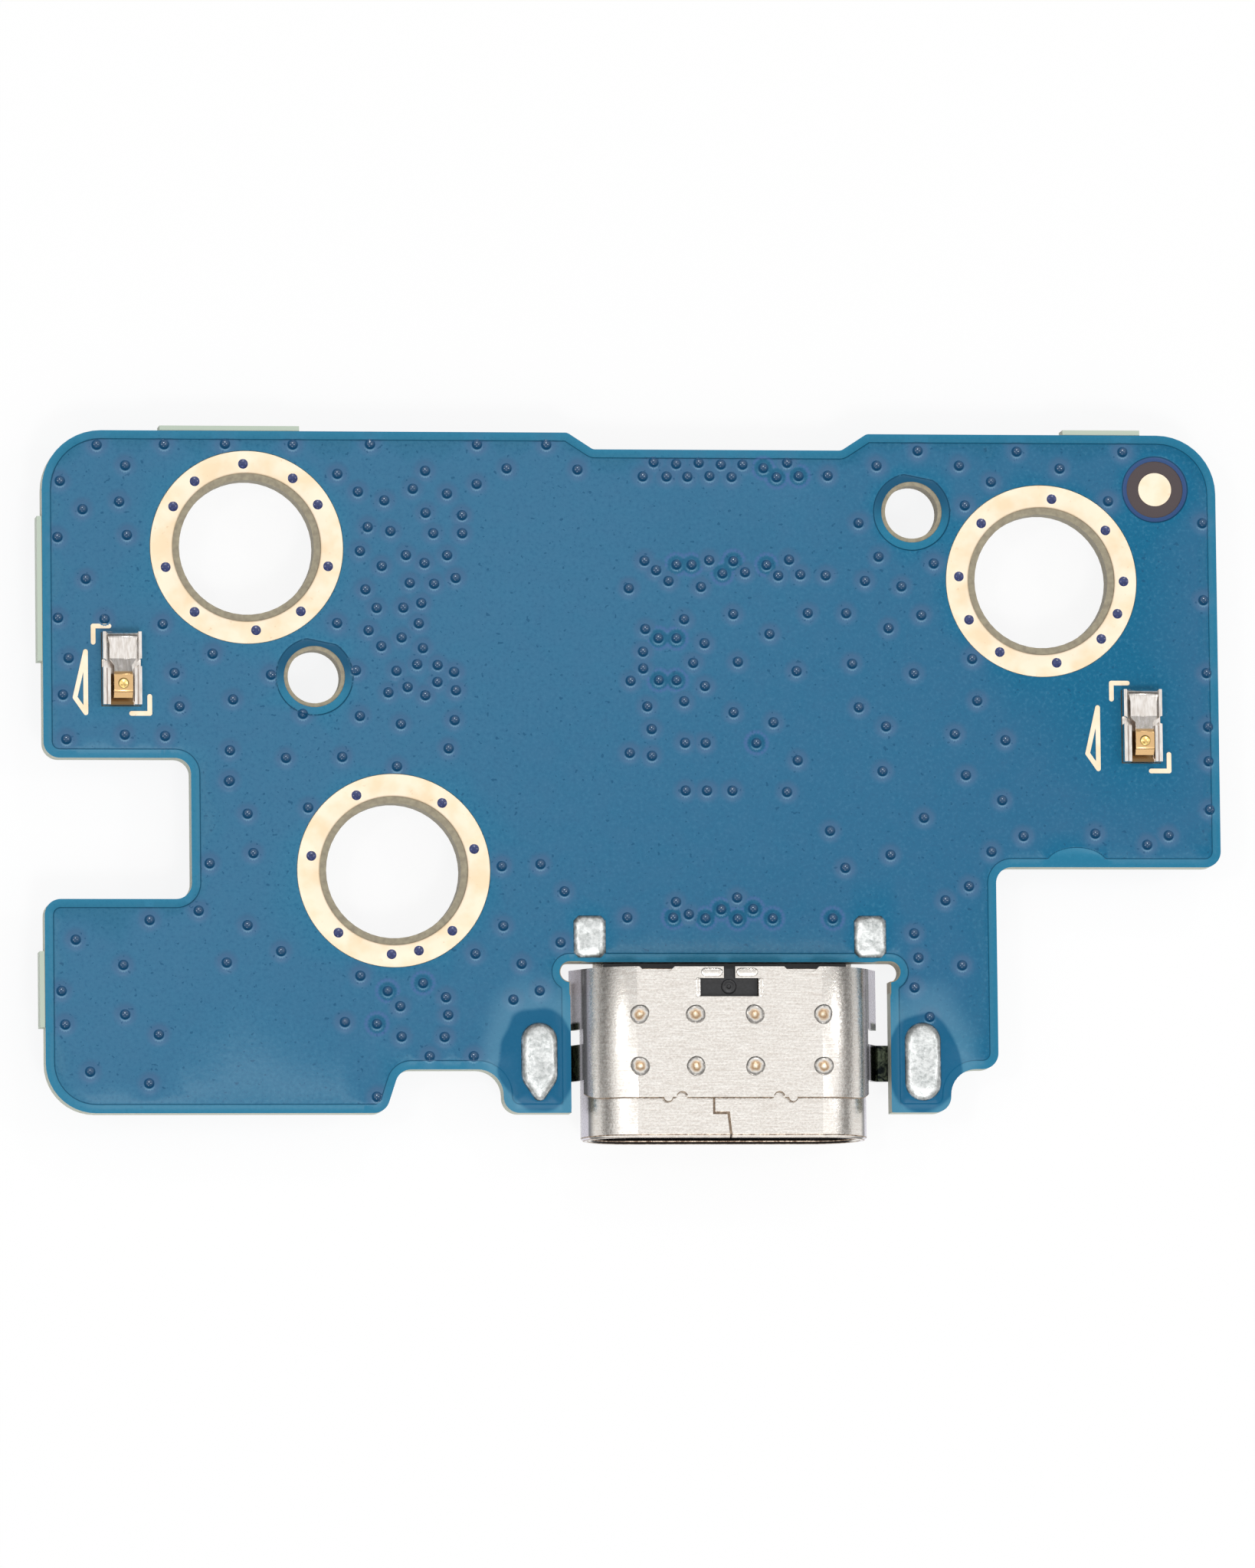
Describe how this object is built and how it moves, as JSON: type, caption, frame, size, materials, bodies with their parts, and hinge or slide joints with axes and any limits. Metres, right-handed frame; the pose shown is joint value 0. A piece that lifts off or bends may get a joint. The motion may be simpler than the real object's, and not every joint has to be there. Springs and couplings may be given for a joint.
{
  "type": "charging port board",
  "caption": "Small rigid circuit board with a sunk charging receptacle at its front edge, ringed screw holes and spring contacts, seen from its solder side.",
  "frame": {"origin": "middle of the part's outline in X and Y, at the underside of the receptacle's tube in Z", "axes": "+Z out of the solder side, -Y out of the receptacle's mouth, +X along the board's long side"},
  "size_m": [0.037, 0.0222, 0.0033],
  "materials": {
    "laminate": "matt grey-tan glass laminate, seen at the edges",
    "solder_mask": "satin blue solder mask",
    "gilded_copper": "pale immersion gold on copper",
    "port_steel": "warm satin nickel on stainless steel",
    "port_contact_gold": "gold plated contact strips",
    "black_moulding": "black liquid crystal polymer",
    "solder": "frosty tin solder",
    "spring_metal": "nickel plated spring sheet with a gilded end",
    "chip_black": "black chip moulding",
    "component_ceramic": "tan ceramic with tinned ends"
  },
  "bodies": {
    "root": {"circuit_board": "laminate", "upper_solder_mask": "solder_mask", "fiducial_pad": "gilded_copper", "left_position_marks": "gilded_copper", "right_position_marks": "gilded_copper", "left_contact_pad": "gilded_copper", "right_contact_pad": "gilded_copper", "port_tail_pads": "gilded_copper", "left_spring_contact": "spring_metal", "right_spring_contact": "spring_metal", "port_tube": "port_steel", "port_cover": "port_steel", "port_mid_plate": "port_steel", "upper_port_contacts": "port_contact_gold", "lower_port_contacts": "port_contact_gold", "port_insulator": "black_moulding", "left_front_solder_joint": "solder", "right_front_solder_joint": "solder", "left_rear_solder_joint": "solder", "right_rear_solder_joint": "solder", "socket_housing": "black_moulding", "socket_contacts": "port_contact_gold", "left_socket_fitting": "port_steel", "right_socket_fitting": "port_steel", "protection_chip": "chip_black", "surge_diode": "chip_black", "left_static_protector": "chip_black", "right_static_protector": "chip_black", "front_capacitor": "component_ceramic", "rear_capacitor": "component_ceramic", "ferrite_bead": "component_ceramic", "left_resistor": "component_ceramic", "right_resistor": "component_ceramic", "rear_left_ground_ring": "gilded_copper", "front_ground_ring": "gilded_copper", "rear_right_ground_ring": "gilded_copper"}
  },
  "joints": []
}
